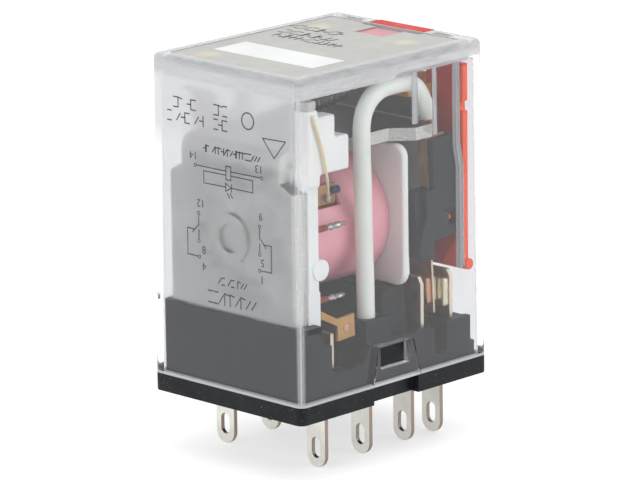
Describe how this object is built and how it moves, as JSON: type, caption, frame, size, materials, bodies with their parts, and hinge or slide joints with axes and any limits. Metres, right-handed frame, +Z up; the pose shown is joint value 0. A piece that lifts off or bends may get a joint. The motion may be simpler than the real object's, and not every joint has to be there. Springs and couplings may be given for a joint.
{
  "type": "industrial control relay",
  "caption": "Plug-in electromagnetic relay under a clear cover, with blade terminals, hinged armature and sliding test lever.",
  "frame": {"origin": "centre of the underside of the base flange, where the relay seats in its socket", "axes": "+Z up out of the socket, +X towards the contact end, Y across the width; the left side is -Y"},
  "size_m": [0.028, 0.0216, 0.0422],
  "materials": {
    "black_phenolic": "fine speckled moulding",
    "clear_cover": "clear polycarbonate",
    "label_grey": "printed",
    "plated_steel": "zinc plated",
    "copper": "copper",
    "white_nylon": "translucent white",
    "enamelled_wire": "enamelled copper",
    "pink_tape": "tape",
    "tinned_pin": "tinned",
    "tan_board": "paper laminate",
    "blue_resistor": "lacquered",
    "led": "tinted epoxy",
    "cream_wire": "insulation",
    "spring_steel": "music wire",
    "grey_moulding": "fine moulding",
    "amber_plastic": "gloss",
    "red_plastic": "gloss",
    "blade_metal": "tin plated copper alloy",
    "brass_strip": "rolled",
    "contact_silver": "silver alloy",
    "spring_bronze": "rolled",
    "white_sleeve": "silicone tube",
    "copper_braid": "braid"
  },
  "bodies": {
    "relay": {"base": "black_phenolic", "clear_cover": "clear_cover", "top_label_plate": "label_grey", "yoke": "plated_steel", "core": "plated_steel", "shading_ring": "copper", "bobbin": "white_nylon", "coil_winding": "enamelled_wire", "coil_tape": "pink_tape", "coil_pins": "tinned_pin", "indicator_board": "tan_board", "indicator_resistor": "blue_resistor", "indicator_led": "led", "indicator_wire": "cream_wire", "return_spring": "spring_steel", "coil_terminal_left": "blade_metal", "coil_terminal_right": "blade_metal", "coil_tab_left": "brass_strip", "coil_tab_right": "brass_strip", "common_terminal_left": "blade_metal", "common_terminal_right": "blade_metal", "no_terminal_left": "blade_metal", "no_terminal_right": "blade_metal", "nc_terminal_left": "blade_metal", "nc_terminal_right": "blade_metal", "no_contact_left": "contact_silver", "no_contact_right": "contact_silver", "nc_contact_left": "contact_silver", "nc_contact_right": "contact_silver", "lead_sleeve_left": "white_sleeve", "lead_sleeve_right": "white_sleeve", "flex_lead_left": "copper_braid", "flex_lead_right": "copper_braid"},
    "armature": {"armature_plate": "plated_steel", "armature_card": "grey_moulding", "operating_tab": "amber_plastic", "moving_spring_left": "spring_bronze", "moving_spring_right": "spring_bronze", "moving_contact_left": "contact_silver", "moving_contact_right": "contact_silver"},
    "test_slider": {"test_lever": "red_plastic"}
  },
  "joints": [
    {"name": "armature_swing", "type": "hinge", "parent": "relay", "child": "armature", "pos_m": [0.0071, 0, 0.027], "axis": [0, 1, 0], "range_deg": [0, 3.2], "stiffness_Nm_per_rad": 0.002, "springref_deg": -57.3, "deforming": ["return_spring", "flex_lead_left", "flex_lead_right"]},
    {"name": "test_lever_slide", "type": "slide", "parent": "relay", "child": "test_slider", "axis": [0, 0, 1], "range_m": [0, 0.0015]}
  ]
}
